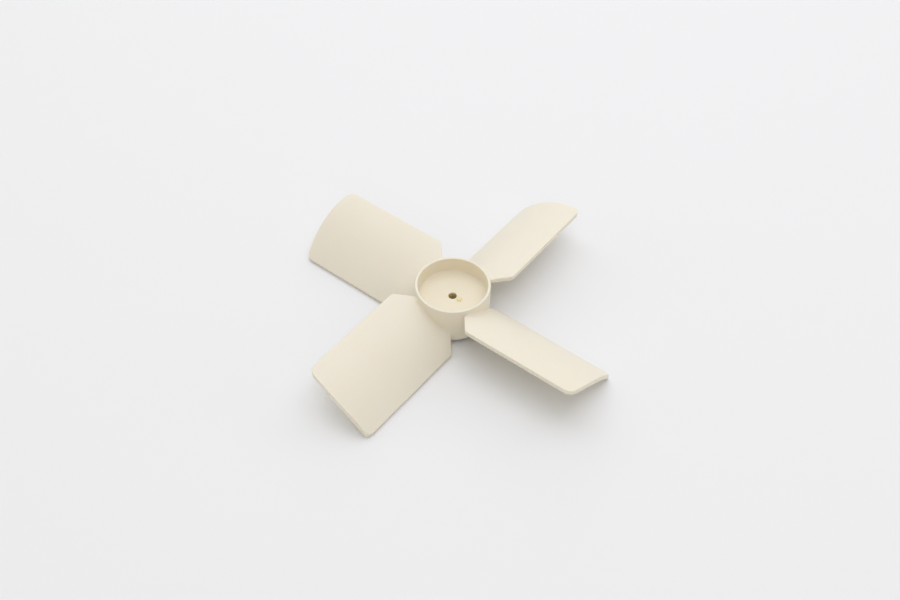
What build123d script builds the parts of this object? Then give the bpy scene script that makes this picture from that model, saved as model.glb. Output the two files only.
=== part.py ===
from build123d import *
from math import copysign, cos, hypot, radians, sin, sqrt, tan
import os

# One injection-moulded axial impeller: a hub cup on a web with a shaft boss, and four blades.
# Millimetres and degrees. +Z is the shaft axis and points out of the cup. The blades' lowest
# edges lie in the plane z = 0, on which the impeller stands.

# Whole impeller
tip_diameter = 120.0
blade_count = 4
first_blade_angle = 45.0

# Blade: a plate of even thickness, rolled to one radius across its width. Its edges are upright
# and broken on the upper face; the thin lower corner of the trailing edge ends in a flat.
blade_thickness = 1.65
blade_chord = 29.55
blade_pitch = 30.6
camber_radius = 41.5
leading_edge_offset = 14.1
leading_edge_below_rim = 0.4
trailing_face_height = 1.4
edge_break = 0.35
leading_tip_round = 3.6
trailing_tip_round = 2.2

# Blade root: the plate leaves the hub narrow and widens in two straight chamfers
root_half_width = 7.6
leading_root_distance = 15.9
trailing_root_distance = 15.0
root_corner_round = 2.4
root_fillet = 0.9

# Hub: a drafted outer wall with a cup above the web and a recess below it
hub_diameter = 26.4
hub_height = 14.6
hub_wall = 1.1
hub_outer_draft = 0.5
hub_inner_draft = 1.0
rim_break = 0.35
foot_break = 0.3
cup_depth = 6.0
cup_floor_fillet = 0.6
web_thickness = 1.6

# Shaft boss under the web
bore_diameter = 3.0
boss_diameter = 7.4
boss_recess = 0.6
bore_lead_in = 0.3

# Gate mark on the web, beside the bore
gate_diameter = 1.5
gate_height = 0.35
gate_distance = 2.9
gate_angle = -45.0

# Worked out from the sizes above
tip_radius = tip_diameter / 2
hub_radius = hub_diameter / 2
blade_inner_radius = hub_radius - hub_wall / 2
pitch = radians(blade_pitch)
trailing_edge_offset = blade_chord * cos(pitch) - leading_edge_offset
rim_z = trailing_face_height + blade_chord * sin(pitch) + leading_edge_below_rim
foot_z = rim_z - hub_height
web_top_z = rim_z - cup_depth
web_bottom_z = web_top_z - web_thickness
boss_end_z = foot_z + boss_recess

# The axis that the blade's plate is rolled round, for the blade along +Y
arc_height = sqrt(camber_radius**2 - (blade_chord / 2) ** 2)
arc_x = leading_edge_offset - blade_chord / 2 * cos(pitch) + arc_height * sin(pitch)
arc_z = trailing_face_height + blade_chord / 2 * sin(pitch) - arc_height * cos(pitch)


def outer_radius(z):
    """Radius of the hub's outer wall, which narrows towards its foot."""
    return hub_radius - (rim_z - z) * tan(radians(hub_outer_draft))


def cup_radius(z):
    """Radius of the inside of the cup, which narrows towards the web."""
    return hub_radius - hub_wall - (rim_z - z) * tan(radians(hub_inner_draft))


def recess_radius(z):
    """Radius of the recess under the web, which narrows towards the web."""
    return outer_radius(foot_z) - hub_wall - (z - foot_z) * tan(radians(hub_inner_draft))


def hub():
    """Hub, web and boss, turned from one half-section with the bore already in it."""
    cup_floor_corner = (cup_radius(web_top_z), web_top_z)
    inner_rim = (cup_radius(rim_z), rim_z)
    outer_rim = (outer_radius(rim_z), rim_z)
    foot = (outer_radius(foot_z), foot_z)
    boss_end = (boss_diameter / 2, boss_end_z)
    outline = Polyline(
        (bore_diameter / 2, web_top_z),
        cup_floor_corner,
        inner_rim,
        outer_rim,
        foot,
        (recess_radius(foot_z), foot_z),
        (recess_radius(web_bottom_z), web_bottom_z),
        (boss_diameter / 2, web_bottom_z),
        boss_end,
        (bore_diameter / 2 + bore_lead_in, boss_end_z),
        (bore_diameter / 2, boss_end_z + bore_lead_in),
        close=True,
    )
    section = make_face(outline)
    breaks = [(inner_rim, rim_break), (outer_rim, rim_break)]
    breaks += [(foot, foot_break), (boss_end, bore_lead_in)]
    for corner, width in breaks:
        section = chamfer(section.vertices().sort_by_distance(corner)[0], width)
    floor_vertex = section.vertices().sort_by_distance(cup_floor_corner)[0]
    section = fillet(floor_vertex, cup_floor_fillet)
    return revolve(Plane.XZ * section, Axis.Z)


def blade_plate():
    """One blade along +Y before its outline is cut: a rolled plate wider than the blade."""
    ring = Circle(camber_radius) - Circle(camber_radius - blade_thickness)
    upper_left = Pos(arc_x, 0) * Rectangle(
        camber_radius, 2 * rim_z, align=(Align.MAX, Align.MIN)
    )
    section = (Pos(arc_x, arc_z) * ring) & upper_left
    return extrude(Plane.XZ * section, -tip_diameter)


def chamfer_start(corner):
    """Inner end of the root chamfer to a corner, run on inwards through the hub's wall."""
    across = copysign(root_half_width, corner.X)
    surface = Vector(across, sqrt(hub_radius**2 - across**2))
    return surface + (surface - corner).normalized() * hub_wall


def blade_outline():
    """Upright prism on the plan of one blade along +Y, with rounded corners."""
    leading_root = Vector(leading_edge_offset, leading_root_distance)
    trailing_root = Vector(-trailing_edge_offset, trailing_root_distance)
    outline = Polyline(
        (0, 0),
        chamfer_start(leading_root),
        leading_root,
        (leading_edge_offset, tip_diameter),
        (-trailing_edge_offset, tip_diameter),
        trailing_root,
        chamfer_start(trailing_root),
        close=True,
    )
    plan = make_face(outline) & Circle(tip_radius)
    leading_tip = (leading_edge_offset, sqrt(tip_radius**2 - leading_edge_offset**2))
    trailing_tip = (-trailing_edge_offset, sqrt(tip_radius**2 - trailing_edge_offset**2))
    rounds = [(leading_root, root_corner_round), (trailing_root, root_corner_round)]
    rounds += [(leading_tip, leading_tip_round), (trailing_tip, trailing_tip_round)]
    for corner, radius in rounds:
        plan = fillet(plan.vertices().sort_by_distance(corner)[0], radius)
    return extrude(plan, 2 * rim_z, both=True)


def blade():
    """One blade along +Y with its upper edges broken and its root inside the hub's wall."""
    core = Cylinder(blade_inner_radius, 2 * tip_diameter)
    plate = (blade_plate() & blade_outline() - core).solid()
    upper_face = plate.faces().sort_by(SortBy.AREA)[-2:].sort_by(Axis.Z)[-1]
    around = [
        edge
        for edge in upper_face.edges()
        if hypot((edge @ 0.5).X, (edge @ 0.5).Y) > blade_inner_radius + edge_break / 2
    ]
    return chamfer(around, edge_break)


def meets_hub(edge):
    """Whether an edge is where a blade meets the hub's outer wall."""
    points = [edge @ place for place in (0.1, 0.5, 0.9)]
    gaps = [abs(hypot(point.X, point.Y) - outer_radius(point.Z)) for point in points]
    is_wall_edge = edge.geom_type in (GeomType.CIRCLE, GeomType.LINE)
    return max(gaps) < edge_break / 10 and not is_wall_edge


def fillet_upper_roots(body):
    """Fillets each blade's upper face into the hub, along the higher of its two long joins."""
    joins = body.edges().filter_by(meets_hub).sort_by(SortBy.LENGTH)[-2 * blade_count :]
    upper_joins = joins.sort_by(Axis.Z)[blade_count:]
    return fillet(upper_joins, root_fillet)


def gate_mark():
    """The low round stub left where the gate was cut off."""
    stub = Cylinder(gate_diameter / 2, 2 * gate_height)
    stub = chamfer(stub.edges().group_by(Axis.Z)[-1], gate_height / 2)
    return Rot(0, 0, gate_angle) * Pos(gate_distance, 0, web_top_z) * stub


def impeller():
    """The whole moulding: hub, blades with filleted roots, and the gate mark."""
    body = hub()
    one_blade = blade()
    for number in range(blade_count):
        turn = first_blade_angle - 90 + number * 360 / blade_count
        body += Rot(0, 0, turn) * one_blade
    return fillet_upper_roots(body) + gate_mark()


os.makedirs("parts", exist_ok=True)
export_step(impeller(), "parts/impeller.step")
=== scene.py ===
from math import cos, radians, sin, sqrt, tan

import bmesh
import bpy
import numpy as np
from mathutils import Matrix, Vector


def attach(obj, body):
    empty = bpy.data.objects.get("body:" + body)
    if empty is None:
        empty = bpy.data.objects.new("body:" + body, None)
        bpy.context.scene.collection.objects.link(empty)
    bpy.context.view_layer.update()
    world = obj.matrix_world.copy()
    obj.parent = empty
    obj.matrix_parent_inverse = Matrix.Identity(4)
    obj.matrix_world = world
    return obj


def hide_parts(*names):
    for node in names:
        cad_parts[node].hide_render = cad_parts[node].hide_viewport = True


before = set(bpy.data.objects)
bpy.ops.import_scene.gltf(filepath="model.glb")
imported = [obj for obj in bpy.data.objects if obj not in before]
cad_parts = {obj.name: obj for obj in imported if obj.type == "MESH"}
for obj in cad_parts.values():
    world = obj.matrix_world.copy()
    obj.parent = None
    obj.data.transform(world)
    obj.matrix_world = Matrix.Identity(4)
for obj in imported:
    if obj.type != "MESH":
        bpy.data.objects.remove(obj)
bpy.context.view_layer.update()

scene = bpy.context.scene

# One-piece moulded fan impeller in cream satin plastic on a pale sheet. The shape is the CAD
# solid's; this script gives it smooth shading, a moulded plastic finish, light and a camera.

# The impeller's driving sizes, in millimetres and degrees, as in the part's source
tip_diameter = 120.0
blade_count = 4
first_blade_angle = 45.0
blade_thickness = 1.65
blade_chord = 29.55
blade_pitch = 30.6
camber_radius = 41.5
leading_edge_offset = 14.1
leading_edge_below_rim = 0.4
trailing_face_height = 1.4
edge_break = 0.35
hub_diameter = 26.4
hub_height = 14.6
hub_wall = 1.1
hub_outer_draft = 0.5
hub_inner_draft = 1.0
cup_depth = 6.0
web_thickness = 1.6
bore_diameter = 3.0
boss_diameter = 7.4
boss_recess = 0.6
gate_diameter = 1.5
gate_distance = 2.9
gate_angle = -45.0

# Width of the flat that is left under each drawn-in trailing edge
standing_flat = 0.12

# Worked out from them
tip_radius = tip_diameter / 2
hub_radius = hub_diameter / 2
pitch = radians(blade_pitch)
blade_turns = [
    radians(first_blade_angle - 90 + number * 360 / blade_count) for number in range(blade_count)
]
trailing_edge_offset = blade_chord * cos(pitch) - leading_edge_offset
rim_z = trailing_face_height + blade_chord * sin(pitch) + leading_edge_below_rim
foot_z = rim_z - hub_height
web_top_z = rim_z - cup_depth
web_bottom_z = web_top_z - web_thickness
boss_end_z = foot_z + boss_recess
foot_radius = hub_radius - hub_height * tan(radians(hub_outer_draft))
recess_radius_at_rim = foot_radius - hub_wall - hub_height * tan(radians(hub_inner_draft))

# The axis that a blade's plate is rolled round, and the line that the blade stands on
arc_height = sqrt(camber_radius**2 - (blade_chord / 2) ** 2)
arc_x = leading_edge_offset - blade_chord / 2 * cos(pitch) + arc_height * sin(pitch)
arc_z = trailing_face_height + blade_chord / 2 * sin(pitch) - arc_height * cos(pitch)
break_z = trailing_face_height - edge_break
lower_face_offset = sqrt((camber_radius - blade_thickness) ** 2 - arc_z**2) - arc_x
standing_offset = lower_face_offset + standing_flat

# Merging of the facets, in metres: how near two points are one, and how short an edge is a sliver
same_point = 2e-7
sliver = 2e-6

# Shading: how near a corner lies to its surface in millimetres, how closely its facet has to
# agree with the surface, and when a corner's normal leans too far from its facet
on_surface = 0.004
least_agreement = cos(radians(14))
leans_too_far = 0.2


# ---------------------------------------------------------------- surfaces of the solid


def cone(points, radius_at_rim, draft, facing):
    """Distance from, and normal of, a cone about +Z: its radius shrinks with the depth below the
    rim by the tangent of its draft. facing is 1 where the surface faces outwards, -1 inwards."""
    reach = np.hypot(points[:, 0], points[:, 1])
    slope = tan(radians(draft))
    gap = (reach - (radius_at_rim - (rim_z - points[:, 2]) * slope)) / sqrt(1 + slope**2)
    safe = np.maximum(reach, 1e-9)
    normal = np.column_stack([points[:, 0] / safe, points[:, 1] / safe, -slope + 0 * reach])
    return gap, facing * normal / sqrt(1 + slope**2)


def level(points, height, facing):
    """Distance from, and normal of, a plane at one height; facing is 1 up and -1 down."""
    normal = np.zeros_like(points)
    normal[:, 2] = facing
    return points[:, 2] - height, normal


def rolled(points, turn, depth, facing):
    """Distance from, and normal of, a blade's face: a cylinder about an axis that runs along the
    blade, whose radius is the camber radius less the depth below the upper face."""
    across = points[:, 0] * cos(turn) + points[:, 1] * sin(turn) - arc_x
    up = points[:, 2] - arc_z
    reach = np.maximum(np.hypot(across, up), 1e-9)
    normal = np.column_stack([across * cos(turn), across * sin(turn), up]) / reach[:, None]
    return reach - (camber_radius - depth), facing * normal


def upright(points, turn, offset):
    """Distance from, and normal of, a blade's upright leading edge, a plane beside its middle."""
    direction = np.array([cos(turn), sin(turn), 0.0])
    return points @ direction - offset, np.tile(direction, (len(points), 1))


def leaning(points, turn):
    """Distance from, and normal of, a blade's trailing edge: a plane through the lower side of
    its edge break that leans in under the blade and ends at the line that the blade stands on."""
    run = trailing_edge_offset - standing_offset
    direction = np.array([-cos(turn) * break_z, -sin(turn) * break_z, -run])
    direction /= np.linalg.norm(direction)
    foot = np.array([-standing_offset * cos(turn), -standing_offset * sin(turn), 0.0])
    return (points - foot) @ direction, np.tile(direction, (len(points), 1))


def large_surfaces():
    """Every large surface of the impeller, as a function of points: first those that are turned
    about the shaft, then four for each blade."""
    surfaces = [
        lambda p: cone(p, hub_radius, hub_outer_draft, 1),
        lambda p: cone(p, hub_radius - hub_wall, hub_inner_draft, -1),
        lambda p: cone(p, recess_radius_at_rim, -hub_inner_draft, -1),
        lambda p: cone(p, boss_diameter / 2, 0, 1),
        lambda p: cone(p, bore_diameter / 2, 0, -1),
        lambda p: cone(p, tip_radius, 0, 1),
        lambda p: level(p, rim_z, 1),
        lambda p: level(p, web_top_z, 1),
        lambda p: level(p, web_bottom_z, -1),
        lambda p: level(p, boss_end_z, -1),
        lambda p: level(p, foot_z, -1),
        lambda p: level(p, 0, -1),
    ]
    for turn in blade_turns:
        surfaces += [
            lambda p, t=turn: rolled(p, t, 0, 1),
            lambda p, t=turn: rolled(p, t, blade_thickness, -1),
            lambda p, t=turn: upright(p, t, leading_edge_offset),
            lambda p, t=turn: leaning(p, t),
        ]
    return surfaces


# ---------------------------------------------------------------- mesh and smooth shading


def points_of(mesh):
    """The mesh's points in millimetres, one row each."""
    spots = np.empty(len(mesh.vertices) * 3)
    mesh.vertices.foreach_get("co", spots)
    return spots.reshape(-1, 3) * 1000


def draw_in_trailing_edges(spots):
    """The solid's trailing edges are upright and stand on narrow flats. The moulded ones lean in
    under the blade: each point in the plane z = 0 that lies further out than the standing line
    moves in, across the blade, to that line."""
    for turn in blade_turns:
        across = spots[:, 0] * cos(turn) + spots[:, 1] * sin(turn)
        along = spots[:, 1] * cos(turn) - spots[:, 0] * sin(turn)
        outside = (spots[:, 2] < 0.01) & (along > 0) & (across < -standing_offset)
        move = np.where(outside, -standing_offset - across, 0.0)
        spots[:, 0] += move * cos(turn)
        spots[:, 1] += move * sin(turn)
    return spots


def shade_like_the_solid(mesh):
    """Gives every corner of the merged mesh the exact normal of the surface that its facet lies
    on. A facet of a narrow break or fillet, which lies on none of the large surfaces, takes at
    each corner the normal of the large surface that it meets there, so it shades as a round."""
    spots = points_of(mesh)
    count = len(spots)
    corners = np.empty(len(mesh.loops), dtype=np.int64)
    mesh.loops.foreach_get("vertex_index", corners)
    corners = corners.reshape(-1, 3)
    a, b, c = (spots[corners[:, i]] for i in range(3))
    facet = np.cross(b - a, c - a)
    area = np.linalg.norm(facet, axis=1)
    facet = facet / np.maximum(area, 1e-12)[:, None]

    # Facets on a large surface, and the largest surface that meets at each point
    loops = np.zeros((len(corners), 3, 3))
    known = np.zeros(len(corners), dtype=bool)
    best_area = np.zeros(count)
    best_normal = np.zeros((count, 3))
    patch_area = np.zeros(count)
    for surface in large_surfaces():
        gap, normal = surface(spots)
        on = np.abs(gap) < on_surface
        agreement = np.einsum("ij,ikj->ik", facet, normal[corners]).min(axis=1)
        mine = on[corners].all(axis=1) & (agreement > least_agreement) & ~known
        loops[mine] = normal[corners[mine]]
        known |= mine
        patch_area[:] = 0
        np.add.at(patch_area, corners[mine].ravel(), np.repeat(area[mine], 3))
        larger = patch_area > best_area
        best_area[larger] = patch_area[larger]
        best_normal[larger] = normal[larger]

    # The narrow facets between them; a point that meets none of them takes the facets' mean
    narrow = ~known
    mean = np.zeros((count, 3))
    for i in range(3):
        np.add.at(mean, corners[narrow, i], facet[narrow] * area[narrow, None])
    mean /= np.maximum(np.linalg.norm(mean, axis=1), 1e-12)[:, None]
    rounded = np.where((best_area > 0)[:, None], best_normal, mean)
    loops[narrow] = rounded[corners[narrow]]
    against = np.einsum("ij,ikj->ik", facet, loops) < leans_too_far
    loops[against] = np.repeat(facet[:, None], 3, axis=1)[against]

    mesh.polygons.foreach_set("use_smooth", np.ones(len(mesh.polygons), dtype=bool))
    mesh.normals_split_custom_set(loops.reshape(-1, 3))


# ---------------------------------------------------------------- material tools


def add(tree, kind, **settings):
    """A new node of the tree with its settings; a key that names a socket sets its value."""
    node = tree.nodes.new(kind)
    for key, value in settings.items():
        if hasattr(node, key):
            setattr(node, key, value)
        else:
            node.inputs[key.replace("_", " ")].default_value = value
    return node


def link(tree, source, output, target, socket):
    """Joins an output to an input by their names."""
    tree.links.new(source.outputs[output], target.inputs[socket])


def times(tree, source, output, factor):
    """A Math node that multiplies an output by a factor."""
    node = add(tree, "ShaderNodeMath", operation="MULTIPLY")
    node.inputs[1].default_value = factor
    link(tree, source, output, node, 0)
    return node


def fine_grain():
    """Node group: the satin of a spark-eroded mould, or of coated paper. Grain gives a height from
    two sizes of noise, and Cloud a slow mask, both from a vector in metres."""
    group = bpy.data.node_groups.new("fine_grain", "ShaderNodeTree")
    for name, kind in (("Vector", "NodeSocketVector"), ("Grains per metre", "NodeSocketFloat")):
        group.interface.new_socket(name=name, in_out="INPUT", socket_type=kind)
    for name in ("Grain", "Cloud"):
        group.interface.new_socket(name=name, in_out="OUTPUT", socket_type="NodeSocketFloat")
    inlet = add(group, "NodeGroupInput")
    outlet = add(group, "NodeGroupOutput")
    fine = add(group, "ShaderNodeTexNoise", Detail=2.0, Roughness=0.6)
    coarser = add(group, "ShaderNodeTexNoise", Detail=1.0, Roughness=0.5)
    slow = add(group, "ShaderNodeTexNoise", Detail=3.0, Roughness=0.55)
    for noise in (fine, coarser, slow):
        link(group, inlet, "Vector", noise, "Vector")
    link(group, inlet, "Grains per metre", fine, "Scale")
    link(group, times(group, inlet, "Grains per metre", 0.33), "Value", coarser, "Scale")
    link(group, times(group, inlet, "Grains per metre", 0.012), "Value", slow, "Scale")
    both = add(group, "ShaderNodeMath", operation="MULTIPLY_ADD")
    both.inputs[1].default_value = 0.6
    link(group, fine, "Fac", both, 0)
    link(group, coarser, "Fac", both, 2)
    link(group, both, "Value", outlet, "Grain")
    link(group, slow, "Fac", outlet, "Cloud")
    return group


def skinned(tree, place, grain, per_metre):
    """The fine grain placed in a material, with its own number of grains per metre."""
    skin = add(tree, "ShaderNodeGroup", node_tree=grain)
    skin.inputs["Grains per metre"].default_value = per_metre
    link(tree, place, "Object", skin, "Vector")
    return skin


def near_point(tree, place, centre, inner, outer):
    """A mask that is 1 within the inner distance of a point and 0 beyond the outer. The point
    and the distances are in millimetres."""
    gap = add(tree, "ShaderNodeVectorMath", operation="DISTANCE")
    gap.inputs[1].default_value = [value / 1000 for value in centre]
    link(tree, place, "Object", gap, 0)
    mask = add(tree, "ShaderNodeMapRange", interpolation_type="SMOOTHSTEP")
    mask.inputs["From Min"].default_value = inner / 1000
    mask.inputs["From Max"].default_value = outer / 1000
    mask.inputs["To Min"].default_value = 1.0
    mask.inputs["To Max"].default_value = 0.0
    link(tree, gap, "Value", mask, "Value")
    return mask


def tinted(tree, mask, output, below, colour):
    """A Mix node that lays a colour over another colour or node, by a mask."""
    mix = add(tree, "ShaderNodeMix", data_type="RGBA")
    link(tree, mask, output, mix, 0)
    if isinstance(below, tuple):
        mix.inputs[6].default_value = below
    else:
        tree.links.new(below.outputs[2], mix.inputs[6])
    mix.inputs[7].default_value = colour
    return mix


def flow_marks(tree, place):
    """Noise over the sine of the angle round the shaft and, far more slowly, the distance from
    the middle and the height, so its marks fan out from the gate."""
    split = add(tree, "ShaderNodeSeparateXYZ")
    link(tree, place, "Object", split, "Vector")
    bearing = add(tree, "ShaderNodeMath", operation="ARCTAN2")
    link(tree, split, "Y", bearing, 0)
    link(tree, split, "X", bearing, 1)
    swing = add(tree, "ShaderNodeMath", operation="SINE")
    link(tree, bearing, "Value", swing, 0)
    reach = add(tree, "ShaderNodeVectorMath", operation="LENGTH")
    link(tree, place, "Object", reach, 0)
    polar = add(tree, "ShaderNodeCombineXYZ")
    link(tree, swing, "Value", polar, "X")
    link(tree, reach, "Value", polar, "Y")
    link(tree, split, "Z", polar, "Z")
    flow = add(tree, "ShaderNodeTexNoise", Scale=14.0, Detail=2.0)
    link(tree, polar, "Vector", flow, "Vector")
    return flow


def cream_colour(tree, place, skin):
    """The plastic's colour: a slow clouding of two creams, painted shade over the hub (a deeper,
    yellower cream that stands in for the shade and warm bounced light in its cup and on its
    walls), a yellow blush at the gate and painted shade in the bore (a deep brown-yellow)."""
    cream = tinted(tree, skin, "Cloud", (0.844, 0.792, 0.672, 1), (0.828, 0.774, 0.648, 1))
    # Painted shade: the hub and the roots of the blades get a deeper, yellower cream for the shade
    # and warm bounced light in the cup and on the hub's walls.
    middle = (0, 0, rim_z - hub_height / 2)
    hub_shade = near_point(tree, place, middle, hub_radius * 0.95, hub_radius * 1.15)
    cream = tinted(tree, hub_shade, "Result", cream, (0.834, 0.764, 0.612, 1))
    angle = radians(gate_angle)
    gate = (gate_distance * cos(angle), gate_distance * sin(angle), web_top_z)
    blush = near_point(tree, place, gate, gate_diameter * 0.5, gate_diameter * 1.1)
    cream = tinted(tree, blush, "Result", cream, (0.80, 0.69, 0.40, 1))
    # Painted shade: a deep brown-yellow in the bore, for the shade inside it.
    bore_shade = near_point(tree, place, (0, 0, web_top_z - 3.5), 3.1, 3.6)
    return tinted(tree, bore_shade, "Result", cream, (0.66, 0.54, 0.27, 1))


def moulded_plastic(grain):
    """Cream satin polypropylene with spark-eroded grain. The flow marks make it a little more or
    less glossy, and a little light passes through the thin walls."""
    material = bpy.data.materials.new("cream_moulded_plastic")
    material.use_nodes = True
    tree = material.node_tree
    tree.nodes.clear()
    out = add(tree, "ShaderNodeOutputMaterial")
    body = add(tree, "ShaderNodeBsdfPrincipled")
    link(tree, body, "BSDF", out, "Surface")
    body.inputs["IOR"].default_value = 1.49
    body.inputs["Specular IOR Level"].default_value = 0.8
    body.inputs["Subsurface Weight"].default_value = 0.35
    body.inputs["Subsurface Radius"].default_value = (1.0, 0.72, 0.38)
    body.inputs["Subsurface Scale"].default_value = 0.0016

    place = add(tree, "ShaderNodeTexCoord")
    skin = skinned(tree, place, grain, 5200.0)
    cream = cream_colour(tree, place, skin)
    tree.links.new(cream.outputs[2], body.inputs["Base Color"])

    satin = add(tree, "ShaderNodeMapRange")
    satin.inputs["To Min"].default_value = 0.46
    satin.inputs["To Max"].default_value = 0.58
    link(tree, flow_marks(tree, place), "Fac", satin, "Value")
    link(tree, satin, "Result", body, "Roughness")
    bump = add(tree, "ShaderNodeBump", Strength=0.35, Distance=0.00002)
    link(tree, skin, "Grain", bump, "Height")
    link(tree, bump, "Normal", body, "Normal")
    return material


# ---------------------------------------------------------------- the impeller


def merged_facets(node):
    """The node's loose triangles merged into one closed mesh, with the trailing edges drawn in
    and the facets that this leaves without width taken out."""
    shell = bmesh.new()
    shell.from_mesh(node.data)
    bmesh.ops.remove_doubles(shell, verts=shell.verts, dist=same_point)
    mesh = bpy.data.meshes.new("moulded_impeller")
    shell.to_mesh(mesh)
    spots = draw_in_trailing_edges(points_of(mesh)) / 1000
    mesh.vertices.foreach_set("co", spots.ravel())
    shell.clear()
    shell.from_mesh(mesh)
    bmesh.ops.dissolve_degenerate(shell, dist=sliver, edges=shell.edges)
    bmesh.ops.triangulate(shell, faces=shell.faces)
    shell.to_mesh(mesh)
    shell.free()
    return mesh


def impeller(grain):
    """The whole moulding: one closed mesh, shaded as the solid is curved."""
    mesh = merged_facets(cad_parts["impeller"])
    shade_like_the_solid(mesh)
    piece = bpy.data.objects.new("moulded_impeller", mesh)
    scene.collection.objects.link(piece)
    mesh.materials.append(moulded_plastic(grain))
    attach(piece, "root")
    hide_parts("impeller")


grain = fine_grain()
impeller(grain)


# ---------------------------------------------------------------- floor, light, camera


def sheet_of_paper(grain):
    """The pale sheet under the impeller: a flat square, 6 m wide, lit evenly."""
    mesh = bpy.data.meshes.new("pale_floor")
    half = 3.0
    corners = [(-half, -half, 0), (half, -half, 0), (half, half, 0), (-half, half, 0)]
    mesh.from_pydata(corners, [], [(0, 1, 2, 3)])
    floor = bpy.data.objects.new("pale_floor", mesh)
    scene.collection.objects.link(floor)
    material = bpy.data.materials.new("pale_floor")
    material.use_nodes = True
    tree = material.node_tree
    body = tree.nodes["Principled BSDF"]
    body.inputs["Base Color"].default_value = (0.86, 0.86, 0.87, 1)
    body.inputs["Roughness"].default_value = 0.9
    body.inputs["Specular IOR Level"].default_value = 0.2
    skin = skinned(tree, add(tree, "ShaderNodeTexCoord"), grain, 2500.0)
    bump = add(tree, "ShaderNodeBump", Strength=0.1, Distance=0.00002)
    link(tree, skin, "Grain", bump, "Height")
    link(tree, bump, "Normal", body, "Normal")
    mesh.materials.append(material)


# The light tent: its panels hang round the impeller at one distance, in metres. The bearing of
# straight behind the impeller is in degrees from +X.
tent_radius = 1.2
back_bearing = 81.86
panel_colour = (0.98, 1.0, 1.1)
cloth_colour = (1.02, 0.99, 0.87, 1)
cloth_strength = 0.45

# Name, angle clockwise from straight behind and elevation in degrees, width in metres, watts
tent_panels = [
    ("ceiling", 0, 90, 0.5, 1.0),
    ("roof_back", 0, 65, 0.5, 0.9),
    ("roof_back_right", 45, 65, 0.5, 0.45),
    ("roof_right", 90, 65, 0.5, 0.9),
    ("roof_front_right", 135, 65, 0.5, 0.4),
    ("roof_front", 180, 65, 0.5, 1.3),
    ("roof_back_left", 315, 65, 0.5, 0.9),
    ("wall_back", 0, 38, 0.7, 0.85),
    ("wall_back_right", 45, 38, 0.7, 1.3),
    ("wall_back_left", 315, 38, 0.7, 1.1),
    ("wall_front", 180, 38, 0.7, 0.8),
    ("foot_back", 0, 14, 0.6, 1.0),
    ("foot_right", 90, 14, 0.6, 0.85),
    ("foot_left", 270, 14, 0.6, 1.0),
]


def tent_panel(name, around, elevation, size, power):
    """A square soft panel of the light tent that faces the impeller."""
    bearing = radians(back_bearing - around)
    rise = radians(elevation)
    place = Vector((cos(rise) * cos(bearing), cos(rise) * sin(bearing), sin(rise))) * tent_radius
    light = bpy.data.lights.new(name, "AREA")
    light.shape = "SQUARE"
    light.size = size
    light.energy = power
    light.color = panel_colour
    lamp = bpy.data.objects.new(name, light)
    lamp.location = place
    lamp.rotation_euler = (-place).to_track_quat("-Z", "Y").to_euler()
    scene.collection.objects.link(lamp)


def tent_cloth():
    """The even light of the tent's cloth between the panels."""
    world = bpy.data.worlds.new("tent_cloth")
    world.use_nodes = True
    cloth = world.node_tree.nodes["Background"]
    cloth.inputs["Color"].default_value = cloth_colour
    cloth.inputs["Strength"].default_value = cloth_strength
    scene.world = world
    scene.view_settings.view_transform = "Standard"


def hang_camera():
    """The camera, in front of the impeller and above it."""
    lens = bpy.data.cameras.new("camera")
    lens.sensor_width = 36.0
    lens.lens = 48.09
    lens.clip_start, lens.clip_end = 0.01, 20
    camera = bpy.data.objects.new("camera", lens)
    camera.location = (-0.039734, -0.277906, 0.321737)
    camera.rotation_euler = (radians(41.8718), radians(-0.5815), radians(-7.3074))
    scene.collection.objects.link(camera)
    scene.camera = camera


sheet_of_paper(grain)
for panel in tent_panels:
    tent_panel(*panel)
tent_cloth()
hang_camera()
